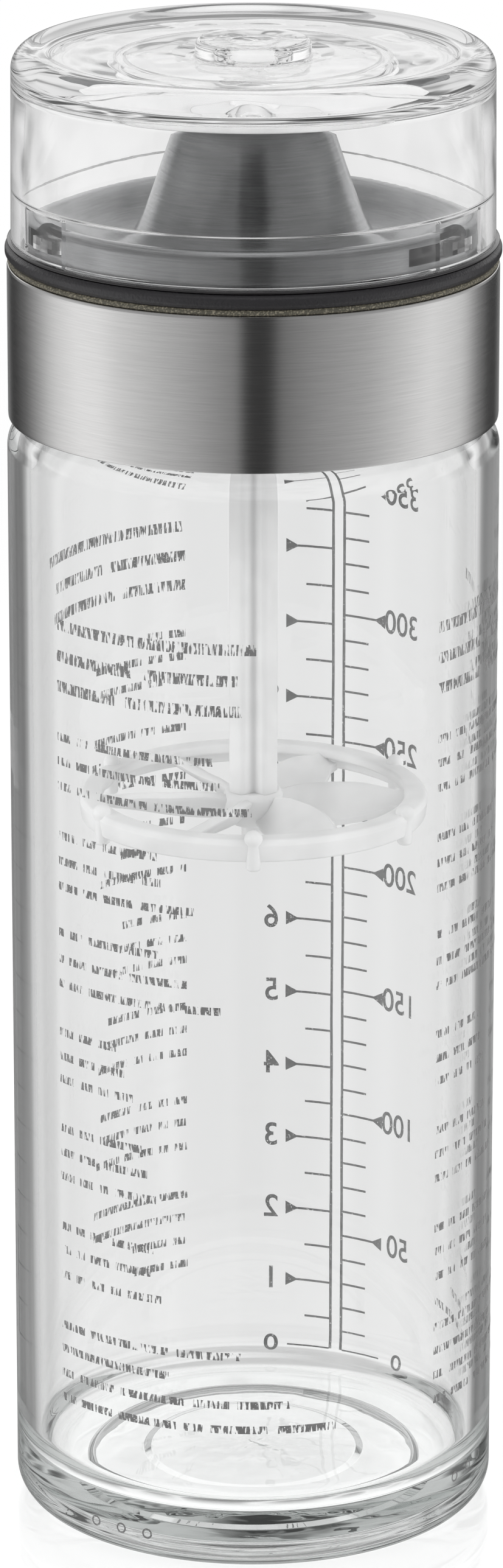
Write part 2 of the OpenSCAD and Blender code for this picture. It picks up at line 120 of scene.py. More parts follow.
def build_room():
    room = bpy.data.worlds.new("studio")
    bpy.context.scene.world = room
    room.use_nodes = True
    tree = room.node_tree
    tree.nodes.clear()
    direction = tree.nodes.new("ShaderNodeTexCoord").outputs["Generated"]
    parts = tree.nodes.new("ShaderNodeSeparateXYZ")
    link(tree, direction, parts.inputs[0])
    front = math_node(tree, "MULTIPLY", parts.outputs["Y"], -1.0)
    turn = math_node(tree, "ARCTAN2", parts.outputs["X"], front)
    around = math_node(tree, "ADD", math_node(tree, "DIVIDE", turn, 2 * math.pi), 0.5)
    height = parts.outputs["Z"]
    below = grey_ramp(tree, around, by_turn(
        (-180, 0.30), (-168, 0.22), (-156, 0.03), (-147, 0.04), (-134, 0.13), (-122, 0.36), (-106, 0.80), (-90, 1.02), (-78, 1.0),
        (-66, 0.80), (-50, 0.63), (-34, 0.49), (-13, 0.29), (-7, 0.27), (-5, 0.03), (9, 0.03), (12, 0.17), (30, 0.31),
        (55, 0.47), (72, 0.68), (91, 0.92), (114, 0.74), (129, 0.24), (142, 0.05), (156, 0.03),
        (168, 0.22), (180, 0.30)))
    level = grey_ramp(tree, around, by_turn(
        (-180, 1.0), (-140, 1.0), (-125, 0.35), (-110, 0.36), (-88, 0.45), (-66, 0.36), (-40, 0.30), (-7, 0.28),
        (-5, 0.05), (9, 0.05), (12, 0.28), (40, 0.30), (66, 0.36), (88, 0.45), (110, 0.36), (125, 0.35), (140, 1.0),
        (180, 1.0)))
    above = grey_ramp(tree, around, by_turn((-180, 0.85), (-150, 0.65), (-125, 0.28), (-20, 0.26), (-16, 0.02), (16, 0.02),
                                            (20, 0.22), (125, 0.28), (150, 0.65), (180, 0.85)))
    mirrored = mix_colour(tree, smooth_step(tree, height, -0.02, 0.10), below, level)
    mirrored = mix_colour(tree, smooth_step(tree, height, 0.38, 0.46), mirrored, above)
    mirrored = mix_colour(tree, smooth_step(tree, height, 0.92, 0.97), mirrored, 0.9)
    streaks = tree.nodes.new("ShaderNodeMapping")
    streaks.inputs["Scale"].default_value = (5.0, 5.0, 0.4)
    link(tree, direction, streaks.inputs["Vector"])
    upright = tree.nodes.new("ShaderNodeTexNoise")
    upright.inputs["Scale"].default_value = 1.0
    link(tree, streaks.outputs[0], upright.inputs["Vector"])
    mottle = tree.nodes.new("ShaderNodeTexNoise")
    mottle.inputs["Scale"].default_value = 1.0
    mottle.inputs["Detail"].default_value = 1.0
    flat = tree.nodes.new("ShaderNodeMapping")
    flat.inputs["Scale"].default_value = (2.6, 2.6, 7.0)
    link(tree, direction, flat.inputs["Vector"])
    link(tree, flat.outputs[0], mottle.inputs["Vector"])
    fold = math_node(tree, "PINGPONG", math_node(tree, "MULTIPLY", turn, 180 / math.pi), 45.0)
    edges = grey_ramp(tree, math_node(tree, "DIVIDE", fold, 45.0), [
        (0.0, 0.44), (0.30, 0.48), (0.45, 0.38), (0.58, 0.29), (0.70, 0.28), (0.80, 0.42), (0.90, 0.78), (1.0, 0.95)])
    streaky = grey_ramp(tree, upright.outputs["Fac"], [(0.36, 0.72), (0.50, 0.95), (0.64, 1.0)])
    edges = math_node(tree, "MULTIPLY", edges, streaky)
    glints = grey_ramp(tree, mottle.outputs["Fac"], [
        (0.34, 0.03), (0.42, 0.10), (0.48, 0.36), (0.53, 0.90), (0.57, 0.80), (0.63, 0.35), (0.68, 0.10)])
    steep = smooth_step(tree, math_node(tree, "ABSOLUTE", math_node(tree, "ADD", height, 0.32)), 0.16, 0.36)
    inside = mix_colour(tree, steep, edges, glints)
    dim = grey_ramp(tree, mottle.outputs["Fac"], [(0.34, 0.10), (0.42, 0.38), (0.49, 0.80), (0.60, 1.0)])
    near_level = math_node(tree, "MULTIPLY", smooth_step(tree, height, -0.18, -0.10),
                           smooth_step(tree, height, 0.30, 0.18))
    inside = mix_colour(tree, near_level, inside, dim)
    deep = grey_ramp(tree, mottle.outputs["Fac"], [(0.34, 0.08), (0.42, 0.34), (0.48, 0.66), (0.60, 0.78)])
    swirls = mix_colour(tree, smooth_step(tree, height, 0.05, 0.14),
                        grey_ramp(tree, mottle.outputs["Fac"], [(0.38, 0.70), (0.50, 1.0)]),
                        grey_ramp(tree, mottle.outputs["Fac"], [(0.42, 0.14), (0.49, 0.40), (0.57, 0.95)]))
    clear = mix_colour(tree, steep, 0.89, swirls)
    rays = tree.nodes.new("ShaderNodeLightPath")
    turned_back = math_node(tree, "GREATER_THAN", rays.outputs["Glossy Depth"], 0.5)
    inside = mix_colour(tree, math_node(tree, "GREATER_THAN", rays.outputs["Glossy Depth"], 1.5), inside, deep)
    crossed = rays.outputs["Transmission Depth"]
    two_walls = math_node(tree, "LESS_THAN", math_node(tree, "ABSOLUTE", math_node(tree, "SUBTRACT", crossed, 4.0)), 0.5)
    off_metal = math_node(tree, "MAXIMUM", smooth_step(tree, front, 0.0, 0.2), smooth_step(tree, height, 0.0, 0.15))
    by_metal = math_node(tree, "MULTIPLY", two_walls, off_metal)
    seen_through = mix_colour(tree, turned_back, clear, mix_colour(tree, by_metal, inside, mirrored))
    plain = mix_colour(tree, smooth_step(tree, height, -0.02, 0.10), below, 0.94)
    direct = mix_colour(tree, rays.outputs["Is Singular Ray"], mirrored, plain)
    mirrored = mix_colour(tree, math_node(tree, "GREATER_THAN", crossed, 0.5), direct, seen_through)
    light = mix_colour(tree, rays.outputs["Is Glossy Ray"], 0.70, mirrored)
    light = mix_colour(tree, rays.outputs["Is Transmission Ray"], light, seen_through)
    light = mix_colour(tree, rays.outputs["Is Camera Ray"], light, 1.0)
    sky = tree.nodes.new("ShaderNodeBackground")
    link(tree, light, sky.inputs["Color"])
    out = tree.nodes.new("ShaderNodeOutputWorld")
    link(tree, sky.outputs[0], out.inputs["Surface"])


def build_table():
    bpy.ops.object.select_all(action="DESELECT")
    bpy.ops.mesh.primitive_grid_add(x_subdivisions=8, y_subdivisions=8, size=1.6, location=(0, 0, -0.02 * MM))
    table = bpy.context.active_object
    table.name = "studio_table"
    bpy.ops.object.transform_apply(location=True)
    paint = bpy.data.materials.new("white_table")
    paint.use_nodes = True
    tree = paint.node_tree
    board = tree.nodes["Principled BSDF"]
    board.inputs["Base Color"].default_value = (0.80, 0.80, 0.80, 1)
    board.inputs["Roughness"].default_value = 0.0
    board.inputs["Specular IOR Level"].default_value = 1.0
    # The table glows a little for camera rays, so that it reads evenly white. Rays through the glass see it only within
    # about 34 mm of the axis, and for them it glows much more: painted light that brightens the table under the bottle,
    # where the bottle's shade falls.
    glow = tree.nodes.new("ShaderNodeEmission")
    rays = tree.nodes.new("ShaderNodeLightPath")
    seen = math_node(tree, "ADD", math_node(tree, "MULTIPLY", rays.outputs["Is Camera Ray"], 0.17),
                     math_node(tree, "MULTIPLY", rays.outputs["Is Transmission Ray"], 0.42))
    link(tree, seen, glow.inputs["Strength"])
    lit = tree.nodes.new("ShaderNodeAddShader")
    link(tree, board.outputs[0], lit.inputs[0])
    link(tree, glow.outputs[0], lit.inputs[1])
    through = tree.nodes.new("ShaderNodeBsdfTransparent")
    either = tree.nodes.new("ShaderNodeMixShader")
    mirror_or_glass = math_node(tree, "MAXIMUM", rays.outputs["Is Glossy Ray"], rays.outputs["Is Transmission Ray"])
    out_from_bottle = tree.nodes.new("ShaderNodeVectorMath")
    out_from_bottle.operation = "LENGTH"
    link(tree, tree.nodes.new("ShaderNodeTexCoord").outputs["Object"], out_from_bottle.inputs[0])
    distance = out_from_bottle.outputs["Value"]
    far = math_node(tree, "MULTIPLY", mirror_or_glass, smooth_step(tree, distance, 26 * MM, 34 * MM))
    link(tree, math_node(tree, "MAXIMUM", far, smooth_step(tree, distance, 0.35, 0.75)), either.inputs[0])
    link(tree, lit.outputs[0], either.inputs[1])
    link(tree, through.outputs[0], either.inputs[2])
    link(tree, either.outputs[0], tree.nodes["Material Output"].inputs["Surface"])
    table.data.materials.append(paint)


def soft_light(name, place, width, height, watts):
    bpy.ops.object.light_add(type="AREA", location=place)
    lamp = bpy.context.active_object
    lamp.name = name
    lamp.data.shape = "RECTANGLE"
    lamp.data.size = width
    lamp.data.size_y = height
    lamp.data.energy = watts
    lamp.rotation_euler = (Vector((0, 0, 0.1)) - Vector(place)).to_track_quat("-Z", "Y").to_euler()
    lamp.visible_glossy = False
    lamp.visible_transmission = False


build_room()
build_table()
soft_light("left_panel", (-0.85, -0.35, 0.45), 0.5, 0.9, 4.8)
soft_light("right_panel", (0.85, -0.35, 0.45), 0.5, 0.9, 4.8)
soft_light("top_panel", (0, -0.1, 1.2), 0.7, 0.7, 2.0)


# ---- Glass bottle ----------------------------------------------------------
# Thick clear glass, blown in a mould: straight wall, round shoulder, threaded
# neck and a foot ring round a shallow recess. It is turned from its outline,
# and the thread ridge is screwed round its neck.
bottle_r, bore_r, neck_r, neck_bore_r = 32.5, 29.5, 28.5, 25.5
body_top, shoulder_top, rim_top = 147.9, 151.9, 168.1
floor_z = 7.0


def with_fillets(corners, steps=5):
    """Outline of (x, y, fillet) corners, with each fillet drawn as a short arc."""
    outline = []
    for i, (x, y, fillet) in enumerate(corners):
        here = Vector((x, y))
        before = Vector(corners[i - 1][:2]) - here
        after = Vector(corners[(i + 1) % len(corners)][:2]) - here
        half = before.angle(after, 0) / 2
        if fillet <= 0 or not 0.01 < half < math.pi / 2 - 0.01:
            outline.append((x, y))
            continue
        reach = min(fillet / math.tan(half), 0.49 * before.length, 0.49 * after.length)
        radius = reach * math.tan(half)
        middle = here + (before.normalized() + after.normalized()).normalized() * radius / math.sin(half)
        first = here + before.normalized() * reach - middle
        last = here + after.normalized() * reach - middle
        sweep = math.atan2(first.x * last.y - first.y * last.x, first.dot(last))
        for k in range(steps + 1):
            turn = sweep * k / steps
            outline.append((middle.x + first.x * math.cos(turn) - first.y * math.sin(turn),
                            middle.y + first.x * math.sin(turn) + first.y * math.cos(turn)))
    return outline


def arc(r, z, radius, start, end, steps=12):
    turns = [math.radians(start + (end - start) * i / steps) for i in range(steps + 1)]
    return [(r + radius * math.cos(turn), z + radius * math.sin(turn)) for turn in turns]


def pulled_curve(p0, p1, p2, p3, steps):
    """Points of the smooth curve from p0 to p3 that p1 and p2 pull."""
    points = []
    for i in range(steps + 1):
        t = i / steps
        shares = ((1 - t) ** 3, 3 * (1 - t) ** 2 * t, 3 * (1 - t) * t * t, t ** 3)
        points.append(tuple(sum(share * p[axis] for share, p in zip(shares, (p0, p1, p2, p3))) for axis in (0, 1)))
    return points


def select_only(piece):
    if bpy.context.mode != "OBJECT":
        bpy.ops.object.mode_set(mode="OBJECT")
    bpy.ops.object.select_all(action="DESELECT")
    piece.select_set(True)
    bpy.context.view_layer.objects.active = piece


def start_piece(name):
    """A new piece whose mesh is one selected vertex at the origin, in edit mode."""
    bpy.ops.object.select_all(action="DESELECT")
    bpy.ops.mesh.primitive_plane_add(size=MM)
    piece = bpy.context.active_object
    piece.name = piece.data.name = name
    bpy.ops.object.mode_set(mode="EDIT")
    bpy.ops.mesh.merge(type="CENTER")
    return piece


def draw_line(points, flat=False, closed=True):
    """Pulls the selected vertex along points, in millimetres: (radius, height), or (x, y) when flat."""
    def place(p, q):
        step = ((q[0] - p[0]) * MM, (q[1] - p[1]) * MM)
        return (step[0], step[1], 0) if flat else (step[0], 0, step[1])
    bpy.ops.transform.translate(value=place((0, 0), points[0]))
    path = list(points) + ([points[0]] if closed else [])
    for p, q in zip(path, path[1:]):
        bpy.ops.mesh.extrude_region_move(TRANSFORM_OT_translate={"value": place(p, q)})
    bpy.ops.mesh.select_all(action="SELECT")
    bpy.ops.mesh.remove_doubles(threshold=0.0015 * MM)


def leave_piece(piece, sharp):
    bpy.ops.mesh.select_all(action="SELECT")
    bpy.ops.mesh.remove_doubles(threshold=0.0015 * MM)
    bpy.ops.mesh.normals_make_consistent(inside=False)
    bpy.ops.object.mode_set(mode="OBJECT")
    bpy.ops.object.shade_smooth_by_angle(angle=math.radians(sharp))
    return piece


def turned(name, outline, steps=240, sharp=32):
    """A piece turned from its outline about the bottle's axis, as on a lathe."""
    piece = start_piece(name)
    on_axis = abs(outline[0][0]) < 1e-9 and abs(outline[-1][0]) < 1e-9
    draw_line(outline, closed=not on_axis)
    bpy.ops.mesh.spin(steps=steps, dupli=False, angle=2 * math.pi, center=(0, 0, 0), axis=(0, 0, 1))
    return leave_piece(piece, sharp)


def apply_modifiers(piece):
    select_only(piece)
    for modifier in list(piece.modifiers):
        bpy.ops.object.modifier_apply(modifier=modifier.name)


def boolean(piece, other, operation):
    """Joins the other piece to this one, or cuts it out, and uses it up."""
    work = piece.modifiers.new("shape", "BOOLEAN")
    work.operation = operation
    work.solver = "EXACT"
    work.object = other
    apply_modifiers(piece)
    bpy.data.objects.remove(other)


def finish_piece(piece, material, body, slot, *nodes):
    piece.data.materials.clear()
    piece.data.materials.append(material)
    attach(piece, body)
    if nodes:
        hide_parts(*nodes)
    return piece


bottle = turned("glass_body", (
    with_fillets([(0, 2.3, 0), (14, 2.3, 0.4), (15, 1.8, 0.4), (22, 1.8, 0.6), (23.5, 0, 0.5)])
    + arc(bottle_r - 4, 4, 4, -90, 0, 24)
    + arc(neck_r, body_top, 4, 0, 90, 16)
    + arc(neck_r - 0.8, rim_top - 0.8, 0.8, 0, 90, 6)
    + arc(neck_bore_r + 0.5, rim_top - 0.5, 0.5, 90, 180, 5)
    + arc(neck_bore_r, body_top - 0.5, 4, 90, 0, 16)
    + arc(bore_r - 5, floor_z + 5, 5, 0, -90, 18)
    + [(16, floor_z + 0.15), (8, floor_z + 0.6), (3, floor_z + 0.88), (0, floor_z + 0.9)]), steps=400)
thread = start_piece("thread_ridge")
draw_line([(28.2, 157.4), (29.8, 157.95), (29.8, 159.05), (28.2, 159.6)])
bpy.ops.object.mode_set(mode="OBJECT")
winding = thread.modifiers.new("winding", "SCREW")
winding.angle = math.radians(450)
winding.screw_offset = 6.25 * MM
winding.steps = winding.render_steps = 75
apply_modifiers(thread)
bpy.ops.object.mode_set(mode="EDIT")
bpy.ops.mesh.select_all(action="SELECT")
bpy.ops.mesh.fill_holes(sides=0)
leave_piece(thread, 30)
boolean(bottle, thread, "UNION")


def clear_material(name, ior, shadow_share, waves, rings, absorb=None):
    """A clear shader with slight waves, each (scale, height in mm), and rings round the axis between two heights.

    It lets most of the light fall on what stands inside or behind it, and a ray that is caught in it gets out.
    """
    material = bpy.data.materials.new(name)
    material.use_nodes = True
    tree = material.node_tree
    clear = tree.nodes["Principled BSDF"]
    clear.inputs["Base Color"].default_value = (1, 1, 1, 1)
    clear.inputs["Roughness"].default_value = 0.0
    clear.inputs["IOR"].default_value = ior
    clear.inputs["Transmission Weight"].default_value = 1.0
    place = tree.nodes.new("ShaderNodeTexCoord").outputs["Object"]
    spot = tree.nodes.new("ShaderNodeSeparateXYZ")
    link(tree, place, spot.inputs[0])
    x, y, z = spot.outputs
    radius = math_node(tree, "SQRT", math_node(tree, "ADD", math_node(tree, "MULTIPLY", x, x),
                                               math_node(tree, "MULTIPLY", y, y)))
    away = math_node(tree, "ADD", radius, 2 * MM)
    ring_scale, turn_scale, low, high, reach, ring_height = rings
    round_axis = tree.nodes.new("ShaderNodeCombineXYZ")
    link(tree, math_node(tree, "MULTIPLY", radius, ring_scale), round_axis.inputs[0])
    link(tree, math_node(tree, "MULTIPLY", math_node(tree, "DIVIDE", x, away), turn_scale), round_axis.inputs[1])
    link(tree, math_node(tree, "MULTIPLY", math_node(tree, "DIVIDE", y, away), turn_scale), round_axis.inputs[2])
    ripples = tree.nodes.new("ShaderNodeTexNoise")
    ripples.inputs["Scale"].default_value = 1.0
    ripples.inputs["Detail"].default_value = 0.8
    link(tree, round_axis.outputs[0], ripples.inputs["Vector"])
    where = math_node(tree, "MULTIPLY", smooth_step(tree, z, low * MM, high * MM),
                      smooth_step(tree, radius, reach * MM, (reach - 4) * MM))
    where = math_node(tree, "MULTIPLY", where, ring_height)
    uneven = math_node(tree, "MULTIPLY", ripples.outputs["Fac"], where)
    for scale, wave_height in waves:
        stretch = tree.nodes.new("ShaderNodeMapping")
        stretch.inputs["Scale"].default_value = scale
        link(tree, place, stretch.inputs["Vector"])
        wave = tree.nodes.new("ShaderNodeTexNoise")
        wave.inputs["Scale"].default_value = 1.0
        wave.inputs["Detail"].default_value = 2.0
        link(tree, stretch.outputs[0], wave.inputs["Vector"])
        uneven = math_node(tree, "ADD", uneven, math_node(tree, "MULTIPLY", wave.outputs["Fac"], wave_height))
    swell = tree.nodes.new("ShaderNodeBump")
    swell.inputs["Strength"].default_value = 1.0
    swell.inputs["Distance"].default_value = MM
    link(tree, uneven, swell.inputs["Height"])
    link(tree, swell.outputs[0], clear.inputs["Normal"])
    rays = tree.nodes.new("ShaderNodeLightPath")
    through = tree.nodes.new("ShaderNodeBsdfTransparent")
    either = tree.nodes.new("ShaderNodeMixShader")
    falling = math_node(tree, "MAXIMUM", rays.outputs["Is Shadow Ray"], rays.outputs["Is Diffuse Ray"])
    caught = math_node(tree, "MAXIMUM", math_node(tree, "GREATER_THAN", rays.outputs["Glossy Depth"], 3.5),
                       math_node(tree, "GREATER_THAN", rays.outputs["Ray Depth"], 10.5))
    passing = math_node(tree, "MAXIMUM", math_node(tree, "MULTIPLY", falling, shadow_share), caught)
    link(tree, passing, either.inputs[0])
    link(tree, clear.outputs[0], either.inputs[1])
    link(tree, through.outputs[0], either.inputs[2])
    link(tree, either.outputs[0], tree.nodes["Material Output"].inputs["Surface"])
    if absorb:
        depth = tree.nodes.new("ShaderNodeVolumeAbsorption")
        depth.inputs["Color"].default_value = absorb[0]
        depth.inputs["Density"].default_value = absorb[1]
        link(tree, depth.outputs[0], tree.nodes["Material Output"].inputs["Volume"])
    return material


glass = clear_material("bottle_glass", 1.52, 0.985, [((90, 90, 25), 0.012), ((420, 420, 60), 0.0012)],
                       (170, 3.0, 9.0, 6.5, 26.0, 0.10), ((0.805, 0.822, 0.815, 1), 38.0))
finish_piece(bottle, glass, "bottle", "glass", "glass_bottle")


# ---- Printed scales and rows -----------------------------------------------
# Dark grey enamel, screen printed on the outside of the glass and fired: two
# scales back to back on a double line, and three blocks of plain rows. It is
# drawn flat, cut into narrow strips and laid round the glass.
print_r = bottle_r + 0.03
print_back = -96.0


def add_bar(x0, x1, y0, y1, round_by=0.0):
    bpy.ops.mesh.select_all(action="DESELECT")
    middle = ((x0 + x1) / 2 * MM, (y0 + y1) / 2 * MM, 0)
    bpy.ops.mesh.primitive_plane_add(size=MM, location=middle)
    bpy.ops.transform.resize(value=(x1 - x0, y1 - y0, 1), center_override=middle)
    if round_by:
        bpy.ops.mesh.bevel(offset=round_by * MM, segments=3, affect="VERTICES")


def start_print(name):
    piece = start_piece(name)
    bpy.ops.mesh.delete(type="VERT")
    return piece


def lay_round(piece):
    """Cuts a flat print into strips and lays it round the glass: x is the way round, from the front."""
    bpy.ops.object.mode_set(mode="EDIT")
    for i in range(-52, 53):
        bpy.ops.mesh.select_all(action="SELECT")
        bpy.ops.mesh.bisect(plane_co=(2 * i * MM, 0, 0), plane_no=(1, 0, 0))
    bpy.ops.object.mode_set(mode="OBJECT")
    for v in piece.data.vertices:
        turn = v.co.x / (print_r * MM)
        v.co = Vector((math.sin(turn) * print_r * MM, -math.cos(turn) * print_r * MM, v.co.y))
    piece.data.update()


def way_round(degrees):
    return math.radians(degrees) * print_r


scale_zero, scale_top = 7.1, 134.5
left_line, right_line = way_round(155.6), way_round(158.7)
scales = start_print("printed_scales")
for x in (left_line, right_line):
    add_bar(x - 0.22, x + 0.22, scale_zero, scale_top)
for step, count, each, x, side, names in (
        (3.64, 35, 5, left_line, -1, {5 * i: str(50 * i) for i in range(8)}),
        (5.385, 23, 2, right_line, 1, {2 * i: str(i) for i in range(12)})):
    for i in range(count + 1):
        y = scale_zero + i * step
        reach = 5.5 if i in names else 4.2
        if i == 0:
            reach = 6.9
        near, far = sorted((x + side * 0.2, x + side * reach))
        add_bar(near, far, y - 0.16, y + 0.16)
        if i in names and i:
            tip, base = x + side * 5.2, x + side * 7.2
            bpy.ops.mesh.select_all(action="DESELECT")
            bpy.ops.mesh.primitive_circle_add(vertices=3, radius=MM, fill_type="NGON", location=(tip * MM, y * MM, 0))
            flat = bmesh.from_edit_mesh(scales.data)
            corners = [v for v in flat.verts if v.select]
            for v, spot in zip(corners, ((tip, y), (base, y - side * 1.0), (base, y + side * 1.0))):
                v.co = Vector(spot + (0,)) * MM
            bmesh.update_edit_mesh(scales.data)
for turn, y in ((-40.6, 4.45), (-33.1, 4.45), (-26.0, 4.45), (57.0, 7.9), (63.6, 8.2), (70.0, 8.5)):
    bpy.ops.mesh.select_all(action="DESELECT")
    middle = (way_round(turn) * MM, y * MM, 0)
    bpy.ops.mesh.primitive_circle_add(vertices=28, radius=0.75 * MM, location=middle)
    bpy.ops.mesh.extrude_edges_move()
    bpy.ops.transform.resize(value=(0.66, 0.66, 1), center_override=middle)
bpy.ops.object.mode_set(mode="OBJECT")
numbers = []
for step, x, side, names in ((18.2, left_line, -1, [str(50 * i) for i in range(8)]),
                             (10.77, right_line, 1, [str(i) for i in range(12)])):
    for i, name in enumerate(names):
        bpy.ops.object.select_all(action="DESELECT")
        place = ((x + side * (9.4 if i < 10 else 10.6)) if side > 0 else (x - 10.6), scale_zero + i * step, 0)
        bpy.ops.object.text_add(location=[c * MM for c in place])
        number = bpy.context.active_object
        number.data.body = name
        number.data.size = 4.7 * MM
        number.data.offset = 0.05 * MM
        number.data.align_x = "CENTER"
        number.data.align_y = "CENTER"
        bpy.ops.object.convert(target="MESH")
        bpy.ops.object.transform_apply(location=True, rotation=True, scale=True)
        numbers.append(bpy.context.active_object)
for number in numbers:
    number.select_set(True)
scales.select_set(True)
bpy.context.view_layer.objects.active = scales
bpy.ops.object.join()
lay_round(scales)

rows = start_print("printed_rows")
heading_words = [[(0, 30.0)], [(0, 13.0), (14.6, 27.5)], [(0, 10.5), (12.1, 28.0)]]
row_words = [
    (113.4, [2.6, 2.4, 17.0]), (110.1, [2.6, 2.4, 9.2, 7.6]), (106.7, [2.6, 2.4, 8.0, 13.0]),
    (99.9, [3.8, 2.4, 8.2]), (96.4, [3.8, 2.4, 5.0, 2.6]), (92.9, [3.8, 2.4, 4.6, 7.6]),
    (86.5, [1.0, 2.6, 5.0, 4.8]), (82.8, [1.0, 3.2, 5.0, 8.2]), (79.4, [1.0, 2.6, 9.8, 2.4, 5.0]),
    (72.6, [2.8, 2.4, 3.6]), (69.2, [2.8, 2.8, 3.8]), (66.0, [2.8, 2.4, 1.6, 2.8]),
    (59.1, [2.8, 2.6, 6.6]), (55.7, [2.8, 3.2, 6.8]), (52.3, [2.8, 2.4, 1.6, 6.2]),
    (45.2, [2.0, 1.6, 2.6, 6.4]), (41.9, [2.0, 1.6, 3.2, 5.4]), (38.3, [2.0, 1.6, 2.4, 1.6, 5.0]),
    (31.1, [4.6, 12.2, 9.4]), (27.7, [18.0]), (24.2, [2.4, 6.2, 9.4, 5.0, 7.0]), (20.7, [2.8, 5.4, 8.6, 2.6, 7.6, 8.2])]
for start in (-52.0, 48.0):
    x0 = way_round(start)
    for y, words in zip((128.6, 124.4, 120.3), heading_words):
        for first, last in words:
            add_bar(x0 + first, x0 + last, y - 0.75, y + 0.75)
    for y, words in row_words:
        x = x0
        for length in words:
            add_bar(x, x + length, y - 0.55, y + 0.55)
            x += length + 1.1
bpy.ops.mesh.select_all(action="SELECT")
flat = bmesh.from_edit_mesh(rows.data)
for v in flat.verts:
    v.select_set(False)
flat.select_flush_mode()
for face in flat.faces:
    right, top = max(v.co.x for v in face.verts) / MM, max(v.co.y for v in face.verts) / MM
    face.select_set(right > way_round(20) and (right < way_round(48) + 19 or top > 118))
bmesh.update_edit_mesh(rows.data)
bpy.ops.mesh.duplicate_move(TRANSFORM_OT_translate={"value": (way_round(-210) * MM, 0, 0)})
bpy.ops.object.mode_set(mode="OBJECT")
lay_round(rows)

def fired_enamel(name, strokes):
    """Dark grey enamel with a gritty edge, and if asked broken into fine upright strokes round the glass."""
    material = bpy.data.materials.new(name)
    material.use_nodes = True
    tree = material.node_tree
    enamel = tree.nodes["Principled BSDF"]
    enamel.inputs["Roughness"].default_value = 0.5
    place = tree.nodes.new("ShaderNodeTexCoord").outputs["Object"]
    grit = tree.nodes.new("ShaderNodeTexNoise")
    grit.inputs["Scale"].default_value = 5200.0
    grit.inputs["Detail"].default_value = 2.0
    link(tree, place, grit.inputs["Vector"])
    patches = tree.nodes.new("ShaderNodeTexNoise")
    patches.inputs["Scale"].default_value = 420.0
    link(tree, place, patches.inputs["Vector"])
    shade = mix_colour(tree, patches.outputs["Fac"], (0.12, 0.12, 0.12, 1), (0.20, 0.20, 0.20, 1))
    link(tree, shade, enamel.inputs["Base Color"])
    solid = smooth_step(tree, grit.outputs["Fac"], 0.30, 0.38)
    if strokes:
        upright = tree.nodes.new("ShaderNodeMapping")
        upright.inputs["Scale"].default_value = (2900, 2900, 500)
        link(tree, place, upright.inputs["Vector"])
        broken = tree.nodes.new("ShaderNodeTexNoise")
        broken.inputs["Scale"].default_value = 1.0
        broken.inputs["Detail"].default_value = 1.0
        link(tree, upright.outputs[0], broken.inputs["Vector"])
        solid = math_node(tree, "MULTIPLY", solid, smooth_step(tree, broken.outputs["Fac"], 0.46, 0.54))
    link(tree, solid, enamel.inputs["Alpha"])
    return material


finish_piece(scales, fired_enamel("fired_enamel", False), "bottle", "black_plastic")
finish_piece(rows, fired_enamel("fired_enamel_rows", True), "bottle", "black_plastic")


# ---- Mouth gasket and thread collar ----------------------------------------
# Out of sight when it is closed: a flat ring of white silicone on the glass
# rim, and the black moulding with the inside thread, which the steel is
# pressed round.
def moulded(name, colour, roughness, grain_scale, grain, speckle=None, soft=0.0, through=0.0):
    """Moulded plastic or rubber: a fine grain, slightly uneven shade and gloss, and speckles if any."""
    material = bpy.data.materials.new(name)
    material.use_nodes = True
    tree = material.node_tree
    body = tree.nodes["Principled BSDF"]
    if soft:
        body.inputs["Subsurface Weight"].default_value = soft
        body.inputs["Subsurface Radius"].default_value = (1, 1, 1)
        body.inputs["Subsurface Scale"].default_value = 2 * MM
    body.inputs["Transmission Weight"].default_value = through
    place = tree.nodes.new("ShaderNodeTexCoord").outputs["Object"]
    fine = tree.nodes.new("ShaderNodeTexNoise")
    fine.inputs["Scale"].default_value = grain_scale
    fine.inputs["Detail"].default_value = 4
    link(tree, place, fine.inputs["Vector"])
    broad = tree.nodes.new("ShaderNodeTexNoise")
    broad.inputs["Scale"].default_value = 160.0
    link(tree, place, broad.inputs["Vector"])
    raised = tree.nodes.new("ShaderNodeBump")
    raised.inputs["Strength"].default_value = 1.0
    raised.inputs["Distance"].default_value = grain * MM
    link(tree, fine.outputs["Fac"], raised.inputs["Height"])
    link(tree, raised.outputs[0], body.inputs["Normal"])
    darker = tuple(c * 0.9 for c in colour[:3]) + (1,)
    shade = mix_colour(tree, smooth_step(tree, broad.outputs["Fac"], 0.3, 0.7), colour, darker)
    if speckle:
        shade = mix_colour(tree, smooth_step(tree, fine.outputs["Fac"], 0.50, 0.62), shade, speckle)
    link(tree, shade, body.inputs["Base Color"])
    gloss = math_node(tree, "MULTIPLY", math_node(tree, "SUBTRACT", broad.outputs["Fac"], 0.5), 0.15)
    link(tree, math_node(tree, "ADD", gloss, roughness), body.inputs["Roughness"])
    return material


def finish_node(name, material):
    """A CAD node that keeps its shape gets its own finish."""
    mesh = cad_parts[name].data
    mesh.materials.clear()
    mesh.materials.append(material)


white_silicone = moulded("white_silicone", (0.93, 0.93, 0.92, 1), 0.45, 700, 0.004, soft=0.4)
black_moulding = moulded("black_moulding", (0.03, 0.03, 0.032, 1), 0.42, 1500, 0.01)
finish_node("mouth_gasket", white_silicone)
finish_node("thread_collar", black_moulding)


